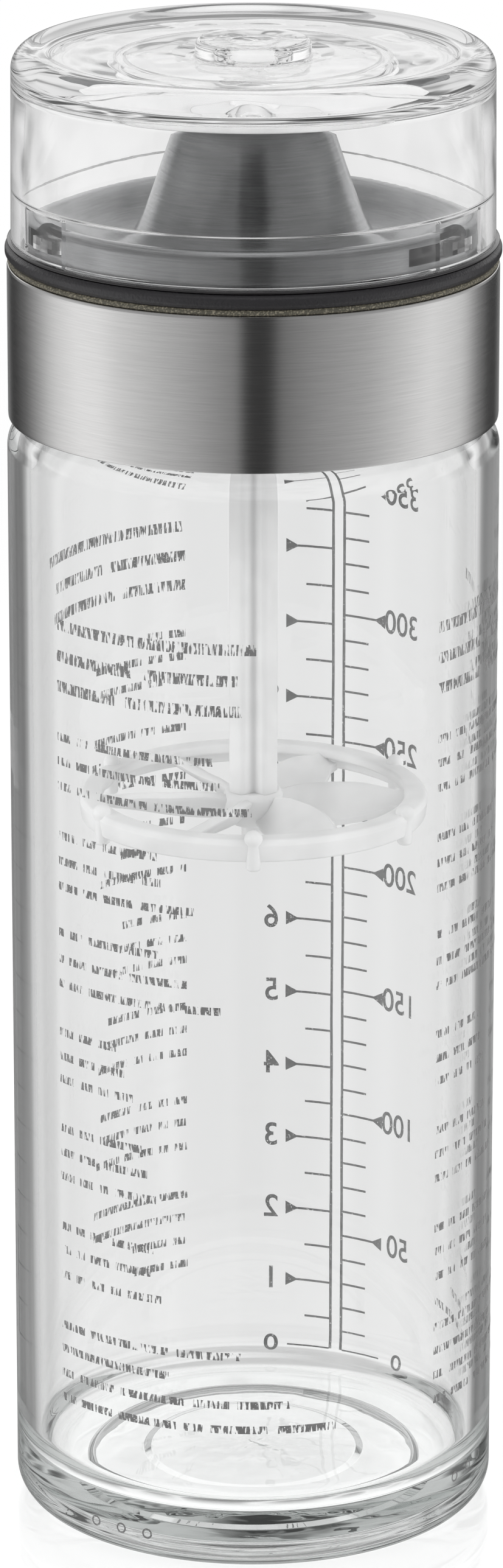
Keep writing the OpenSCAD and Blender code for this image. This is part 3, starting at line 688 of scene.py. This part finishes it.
# ---- Steel sleeve ----------------------------------------------------------
# Stainless steel band, rolled and pressed over the collar, brushed round the
# bottle's axis. Its edges are broken, not sharp.
def brushing_group():
    """Fine grain that runs round the axis: shade, roughness and height over the surface."""
    tree = bpy.data.node_groups.new("round_brushing", "ShaderNodeTree")
    for name, default in (("Grain", 1.0), ("Cloud", 0.1), ("Base Roughness", 0.3)):
        tree.interface.new_socket(name=name, in_out="INPUT", socket_type="NodeSocketFloat").default_value = default
    for name in ("Shade", "Roughness", "Height"):
        tree.interface.new_socket(name=name, in_out="OUTPUT", socket_type="NodeSocketFloat")
    given = tree.nodes.new("NodeGroupInput")
    made = tree.nodes.new("NodeGroupOutput")
    place = tree.nodes.new("ShaderNodeTexCoord").outputs["Object"]
    streaks = []
    for scale in ((90, 90, 4200), (300, 300, 11000)):
        stretch = tree.nodes.new("ShaderNodeMapping")
        stretch.inputs["Scale"].default_value = scale
        link(tree, place, stretch.inputs["Vector"])
        noise = tree.nodes.new("ShaderNodeTexNoise")
        noise.inputs["Scale"].default_value = 1.0
        noise.inputs["Detail"].default_value = 3.0
        noise.inputs["Roughness"].default_value = 0.6
        link(tree, stretch.outputs[0], noise.inputs["Vector"])
        streaks.append(noise.outputs["Fac"])
    fine = math_node(tree, "ADD", math_node(tree, "MULTIPLY", streaks[0], 0.5),
                     math_node(tree, "MULTIPLY", streaks[1], 0.5))
    cloud = tree.nodes.new("ShaderNodeTexNoise")
    cloud.inputs["Scale"].default_value = 70.0
    link(tree, place, cloud.inputs["Vector"])
    lift = math_node(tree, "MULTIPLY", math_node(tree, "SUBTRACT", fine, 0.5), given.outputs["Grain"])
    haze = math_node(tree, "MULTIPLY", math_node(tree, "SUBTRACT", cloud.outputs["Fac"], 0.5), given.outputs["Cloud"])
    link(tree, math_node(tree, "ADD", math_node(tree, "ADD", lift, haze), 1.0), made.inputs["Shade"])
    uneven = math_node(tree, "MULTIPLY", lift, 0.25)
    link(tree, math_node(tree, "ADD", given.outputs["Base Roughness"], uneven), made.inputs["Roughness"])
    link(tree, fine, made.inputs["Height"])
    return tree


round_brushing = brushing_group()


def brushed_steel(name, colour, grain, roughness, cloud, spread, bump):
    material = bpy.data.materials.new(name)
    material.use_nodes = True
    tree = material.node_tree
    steel = tree.nodes["Principled BSDF"]
    steel.inputs["Metallic"].default_value = 1.0
    steel.inputs["Anisotropic"].default_value = spread
    steel.inputs["Anisotropic Rotation"].default_value = 0.25
    brushing = tree.nodes.new("ShaderNodeGroup")
    brushing.node_tree = round_brushing
    brushing.inputs["Grain"].default_value = grain
    brushing.inputs["Cloud"].default_value = cloud
    brushing.inputs["Base Roughness"].default_value = roughness
    shade = tree.nodes.new("ShaderNodeVectorMath")
    shade.operation = "SCALE"
    shade.inputs[0].default_value = colour
    link(tree, brushing.outputs["Shade"], shade.inputs["Scale"])
    link(tree, shade.outputs[0], steel.inputs["Base Color"])
    link(tree, brushing.outputs["Roughness"], steel.inputs["Roughness"])
    raised = tree.nodes.new("ShaderNodeBump")
    raised.inputs["Strength"].default_value = 1.0
    raised.inputs["Distance"].default_value = bump * MM
    link(tree, brushing.outputs["Height"], raised.inputs["Height"])
    link(tree, raised.outputs[0], steel.inputs["Normal"])
    around = tree.nodes.new("ShaderNodeTangent")
    around.direction_type = "RADIAL"
    around.axis = "Z"
    link(tree, around.outputs[0], steel.inputs["Tangent"])
    return material


sleeve = turned("sleeve_band", with_fillets([
    (31.87, 151.92, 0.05), (32.3, 151.92, 0.2), (32.35, 152.5, 0), (32.35, 172.1, 0.2), (32.25, 172.48, 0.12),
    (31.87, 172.48, 0.05)]), steps=288)
sleeve_steel = brushed_steel("brushed_sleeve_steel", (0.74, 0.735, 0.73), 0.45, 0.24, 0.05, 0.85, 0.004)
finish_piece(sleeve, sleeve_steel, "closure", "brushed_steel", "steel_sleeve")


# ---- Soft washer -----------------------------------------------------------
# Thin ring of olive-grey rubber with pale speckles, which keeps the steel off
# the black ring. Its edge is rounded and slightly sunk between the two.
washer = turned("washer_band", with_fillets([
    (30.92, 172.52, 0.05), (32.05, 172.52, 0.3), (32.33, 172.9, 0.25), (32.05, 173.28, 0.3), (30.92, 173.28, 0.05)]))
speckled_rubber = moulded("speckled_rubber", (0.075, 0.070, 0.052, 1), 0.6, 4200, 0.03, speckle=(0.22, 0.20, 0.15, 1))
finish_piece(washer, speckled_rubber, "closure", "olive_rubber", "soft_washer")


# ---- Grip ring -------------------------------------------------------------
# Black plastic ring that stands slightly proud of the steel, with a finely
# pitted surface for the fingers and a shadow gap above and below it.
grip = turned("grip_band", with_fillets([
    (30.92, 173.32, 0.05), (32.1, 173.32, 0.2), (32.3, 173.6, 0.2), (32.6, 173.95, 0.4), (32.6, 174.75, 0.5),
    (32.25, 175.05, 0.2), (32.1, 175.25, 0.05), (30.92, 175.25, 0.05)]), steps=288)
pitted_black = moulded("pitted_black", (0.020, 0.019, 0.021, 1), 0.38, 2600, 0.10)
finish_piece(grip, pitted_black, "closure", "black_textured", "grip_ring")


# ---- Bayonet ring ----------------------------------------------------------
# Black moulding under the steel dome. Only its thin glossy lip shows, which
# the cap stands on. Its upright ring has the tracks for the cap's lugs.
lug_angles = (-151, -31, 89)


def degrees_from(point, centre):
    return (math.degrees(math.atan2(point.y, point.x)) - centre + 180) % 360 - 180


def ring_block(name, centre, width, r0, r1, z0, z1):
    """A block bent round the axis, width degrees wide, for cutting."""
    block = start_piece(name)
    draw_line([(r0, z0), (r1, z0), (r1, z1), (r0, z1)])
    bpy.ops.mesh.edge_face_add()
    turn = math.radians(centre - width / 2)
    for v in block_vertices(block):
        r = v.co.x
        v.co = Vector((r * math.cos(turn), r * math.sin(turn), v.co.z))
    bmesh.update_edit_mesh(block.data)
    bpy.ops.mesh.spin(steps=max(4, round(width / 2)), dupli=False, angle=-math.radians(width),
                      center=(0, 0, 0), axis=(0, 0, 1))
    leave_piece(block, 30)
    low = min(degrees_from(v.co, centre) for v in block.data.vertices)
    if abs(low + width / 2) > 0.1:
        print("ring block runs the other way:", name, low, width)
    return block


def block_vertices(piece):
    return bmesh.from_edit_mesh(piece.data).verts


def cut_tracks(piece):
    for lug_angle in lug_angles:
        boolean(piece, ring_block("channel", lug_angle, 12.5, 27.85, 30.1, 177.9, 180.8), "DIFFERENCE")
        boolean(piece, ring_block("slot", lug_angle - 6, 24, 27.9, 30.1, 176.9, 179.2), "DIFFERENCE")


bayonet = turned("bayonet_moulding", with_fillets([
    (27.0, 172.52, 0.2), (30.88, 172.52, 0.05), (30.88, 175.32, 0.05), (32.05, 175.32, 0.2), (32.3, 175.45, 0.15),
    (32.3, 175.62, 0.15), (32.0, 175.8, 0.2), (29.0, 175.8, 0.05), (29.0, 178.8, 0.2), (27.0, 178.8, 0.2)]), steps=288)
cut_tracks(bayonet)
bpy.ops.object.shade_smooth_by_angle(angle=math.radians(32))
glossy_black = moulded("glossy_black", (0.018, 0.017, 0.018, 1), 0.14, 900, 0.002)
finish_piece(bayonet, glossy_black, "closure", "black_gloss", "bayonet_ring")


# ---- Pour funnel and rod holder --------------------------------------------
# Out of sight when it is closed: white translucent mouldings inside the neck,
# one that carries the liquid to the spout and one that holds the rod.
milky = moulded("milky_plastic", (0.97, 0.97, 0.97, 1), 0.33, 700, 0.004, soft=0.25, through=0.08)
finish_node("pour_funnel", milky)
finish_node("rod_holder", milky)


# ---- Pouring dome ----------------------------------------------------------
# Stainless steel sheet, pressed to an upright wall, a round edge, a dish and
# a pouring cone, then satin brushed round the axis. Three channels in its
# edge let the cap's lugs down, and slots beside them let the lugs turn.
skirt_r, edge_z, edge_r, sheet_t = 29.6, 180.3, 1.2, 0.6
dish_r, dish_z, spout_r, spout_z = 19.0, 176.3, 9.2, 193.3
crest_r = skirt_r - edge_r


def sheet_line(inset):
    """The sheet's line from the foot of its wall to the spout's mouth, inset from its outer face."""
    rise, width = spout_z - dish_z, crest_r - dish_r
    return ([(skirt_r - inset, z) for z in (175.82, 176.9, 178.2)]
            + arc(crest_r, edge_z - edge_r, edge_r - inset, 0, 90, 12)
            + pulled_curve((crest_r, edge_z - inset), (crest_r - 0.35 * width, edge_z - inset),
                           (dish_r + 0.45 * width, dish_z - inset), (dish_r, dish_z - inset), 24)[1:]
            + pulled_curve((dish_r, dish_z - inset), (dish_r - 4.4 - inset / 2, dish_z - inset),
                           (spout_r + 4 - inset, dish_z + 0.48 * rise), (spout_r - inset, spout_z), 36)[1:])


dome = turned("dome_pressing", sheet_line(0) + sheet_line(sheet_t)[::-1], steps=360, sharp=40)
cut_tracks(dome)
bpy.ops.object.shade_smooth_by_angle(angle=math.radians(40))
dome_steel = brushed_steel("satin_dome_steel", (0.36, 0.365, 0.37), 0.9, 0.22, 0.14, 0.6, 0.006)
finish_piece(dome, dome_steel, "closure", "satin_steel", "pouring_dome")


# ---- Cap seal --------------------------------------------------------------
# Soft white translucent silicone disc that closes the spout. Its stem snaps
# up into a pocket under the cap's knob.
seal = turned("seal_disc", with_fillets([
    (0, 193.87, 0), (8.0, 193.87, 0), (16.1, 193.87, 0.4), (16.5, 194.4, 0.4), (16.5, 197.44, 0.3),
    (2.35, 197.44, 0.2), (2.35, 199.4, 0.1), (3.1, 199.4, 0.15), (2.3, 200.5, 0.3), (0, 200.5, 0)]))
finish_piece(seal, moulded("seal_silicone", (0.93, 0.93, 0.93, 1), 0.4, 700, 0.004, soft=0.4, through=0.15),
             "seal", "clear_silicone", "cap_seal")


# ---- Clear cap -------------------------------------------------------------
# Clear hard plastic, injection moulded: a shallow dished roof with a round
# knob, a ring under the roof for the seal, an inside step, and three lugs in
# shallow pads that catch under the steel edge when the cap is turned.
cap_r, cap_top_r, cap_bore_r, cap_upper_r = 31.8, 31.6, 30.1, 29.7
cap_rim, cap_top, cap_dish, cap_under = 175.85, 201.0, 200.1, 197.5
knob_r, knob_top = 7.6, 202.0
cap = start_piece("cap_shell")
draw_line(
    [(30.4, cap_rim), (31.5, cap_rim)]
    + arc(31.5, cap_rim + 0.3, 0.3, -90, 0, 4)
    + arc(cap_top_r - 2.8, cap_top - 2.8, 2.8, 0, 90, 16)
    + pulled_curve((28.8, cap_top), (27.2, cap_top), (27.0, cap_dish), (24.3, cap_dish), 10)[1:]
    + with_fillets([(24.2, cap_dish, 0), (10.6, cap_dish, 1.0), (8.8, cap_dish - 0.4, 0.5),
                    (knob_r, cap_dish - 0.4, 0.35), (knob_r, knob_top - 0.8, 0)])[1:-1]
    + arc(knob_r - 0.8, knob_top - 0.8, 0.8, 0, 90, 8)
    + pulled_curve((6.7, knob_top), (5.5, knob_top - 0.05), (3, knob_top - 0.3), (0, knob_top - 0.3), 8)[1:]
    + with_fillets([(0, 200.8, 0), (3.4, 200.8, 0.3), (3.4, 199.1, 0.1), (2.6, 199.1, 0.1), (2.6, cap_under, 0.2),
                    (16.8, cap_under, 0.2), (16.8, 195.0, 0.25), (18.0, 195.0, 0.25), (18.0, cap_under, 0.3),
                    (20, cap_under, 0)])[:-1]
    + arc(cap_upper_r - 2.2, cap_under - 2.2, 2.2, 90, 0, 12)
    + with_fillets([(cap_upper_r, 184, 0), (cap_upper_r, 182.45, 0.22), (cap_bore_r, 182.25, 0.22),
                    (cap_bore_r, 181.85, 0)], steps=4)[1:]
    + [(cap_bore_r, 178.9),
       (cap_bore_r, 177.2), (cap_bore_r, 176.15)], closed=True)
bpy.ops.mesh.spin(steps=360, dupli=False, angle=2 * math.pi, center=(0, 0, 0), axis=(0, 0, 1))
bpy.ops.mesh.select_all(action="SELECT")
bpy.ops.mesh.remove_doubles(threshold=0.0015 * MM)
bpy.ops.mesh.normals_make_consistent(inside=False)


def select_wall(piece, centre, half_width, low, high, radius):
    """Selects the wall faces of a radius within half_width degrees of centre and between two heights."""
    mesh = bmesh.from_edit_mesh(piece.data)
    bpy.ops.mesh.select_all(action="DESELECT")
    for face in mesh.faces:
        middle = face.calc_center_median() / MM
        if low < middle.z < high and abs(math.hypot(middle.x, middle.y) - radius) < 0.35:
            face.select_set(abs(degrees_from(middle, centre)) < half_width)
    mesh.select_flush_mode()
    bmesh.update_edit_mesh(piece.data)


for lug_angle in lug_angles:
    select_wall(cap, lug_angle, 9.5, 175.8, 181.86, 30.15)
    bpy.ops.transform.resize(value=(30.6 / 30.1, 30.6 / 30.1, 1), center_override=(0, 0, 0.18))
    select_wall(cap, lug_angle, 5, 177.2, 178.9, 30.6)
    bpy.ops.mesh.extrude_region_move()
    bpy.ops.transform.resize(value=(28.2 / 30.6, 28.2 / 30.6, 1), center_override=(0, 0, 0.18))
bpy.ops.object.mode_set(mode="OBJECT")
bpy.ops.object.shade_smooth_by_angle(angle=math.radians(30))
cap_plastic = clear_material("clear_cap_plastic", 1.5, 0.985, [((60, 60, 60), 0.02), ((60, 60, 1100), 0.0010)],
                             (170, 2.2, 194.0, 196.5, 28.5, 0.27))
finish_piece(cap, cap_plastic, "cap", "clear_plastic", "clear_cap")


# ---- Whisk rod -------------------------------------------------------------
# White translucent plastic: four rounded fins round a core, a round plug that
# snaps into the holder, and a thin spigot that passes through the whisk's hub.
fin, tip = 1.45, 3.5
section = with_fillets([(tip, -fin, 0.7), (tip, fin, 0.7), (fin, fin, 0.6), (fin, tip, 0.7), (-fin, tip, 0.7),
                        (-fin, fin, 0.6), (-tip, fin, 0.7), (-tip, -fin, 0.7), (-fin, -fin, 0.6), (-fin, -tip, 0.7),
                        (fin, -tip, 0.7), (fin, -fin, 0.6)], steps=4)
rod = start_piece("fluted_rod")
draw_line([((x - y) * math.sqrt(0.5), (x + y) * math.sqrt(0.5)) for x, y in section], flat=True)
bpy.ops.mesh.edge_face_add()
bpy.ops.transform.translate(value=(0, 0, 100.35 * MM))
bpy.ops.mesh.extrude_region_move(TRANSFORM_OT_translate={"value": (0, 0, 62.4 * MM)})
leave_piece(rod, 40)
boolean(rod, turned("rod_plug", with_fillets([(0, 162.3, 0), (3.5, 162.3, 0.5), (3.5, 171.2, 0.8), (0, 171.2, 0)]),
                    steps=48), "UNION")
boolean(rod, turned("rod_spigot", with_fillets([(0, 93.05, 0), (1.55, 93.05, 0.6), (1.55, 101, 0.1), (0, 101, 0)]),
                    steps=32), "UNION")
bpy.ops.object.shade_smooth_by_angle(angle=math.radians(40))
finish_piece(rod, milky, "whisk", "white_plastic", "whisk_rod")


# ---- Whisk disc ------------------------------------------------------------
# White translucent plastic, moulded in one: a ring with an outer skirt, a
# hub, six twisted blades and six pins that stand above and below the ring.
ring_outer, ring_inner, ring_top, ring_foot = 23.4, 20.2, 100.35, 97.25
disc = turned("whisk_wheel", with_fillets([
    (ring_inner, 98.95, 0.4), (22.0, 98.95, 0.5), (22.0, ring_foot, 0.4), (23.1, ring_foot, 0.4), (ring_outer, 99.6, 0.4),
    (23.0, ring_top, 0.5), (ring_inner + 0.2, ring_top, 0.5)], steps=4), steps=180)
hub = turned("hub", with_fillets([
    (1.6, 95.55, 0), (3.0, 95.55, 0.6), (4.0, 97.2, 0.6), (4.0, 99.6, 0.6), (3.6, 100.34, 0.3), (1.6, 100.34, 0)],
    steps=4), steps=60)
blade = start_piece("blade")
bpy.ops.mesh.delete(type="VERT")
bpy.ops.mesh.primitive_grid_add(x_subdivisions=18, y_subdivisions=6, size=2 * MM)
bpy.ops.object.mode_set(mode="OBJECT")
for v in blade.data.vertices:
    along, across = (v.co.x / MM + 1) / 2, v.co.y / MM
    r = 2.4 + 18.6 * along
    half_width = 1.75 + 1.7 * max(0.0, math.sin(math.pi * min(1, 1.12 * along))) ** 0.8
    tilt = math.radians(50 - 26 * along)
    height = 97.9 + 0.9 * along + half_width * across * math.sin(tilt) - 0.5 * (1 - across * across)
    v.co = Vector((r, half_width * across * math.cos(tilt), min(height, 100.2))) * MM
thick = blade.modifiers.new("wall", "SOLIDIFY")
thick.thickness = 1.15 * MM
thick.offset = 0
rounded = blade.modifiers.new("edge", "BEVEL")
rounded.width = 0.35 * MM
rounded.segments = 2
rounded.angle_limit = math.radians(50)
apply_modifiers(blade)
pin = turned("pin", with_fillets([(0, 96.05, 0), (0.95, 96.05, 0.5), (0.95, 99.5, 0)])[:-1]
             + [(0.95, 99.4)] + arc(0, 100.35, 1.2, -36, 90, 7), steps=20)
for v in pin.data.vertices:
    v.co.x += 22.7 * MM
for i in range(6):
    for source, offset in ((blade, 0), (pin, 30)):
        copy = source.copy()
        copy.data = source.data.copy()
        bpy.context.collection.objects.link(copy)
        turn = math.radians(60 * i + offset)
        for v in copy.data.vertices:
            x, y = v.co.x, v.co.y
            v.co.x, v.co.y = x * math.cos(turn) - y * math.sin(turn), x * math.sin(turn) + y * math.cos(turn)
        boolean(disc, copy, "UNION")
boolean(disc, hub, "UNION")
bpy.data.objects.remove(blade)
bpy.data.objects.remove(pin)
select_only(disc)
bpy.ops.object.shade_smooth_by_angle(angle=math.radians(40))
finish_piece(disc, milky, "whisk", "white_plastic", "whisk_disc")
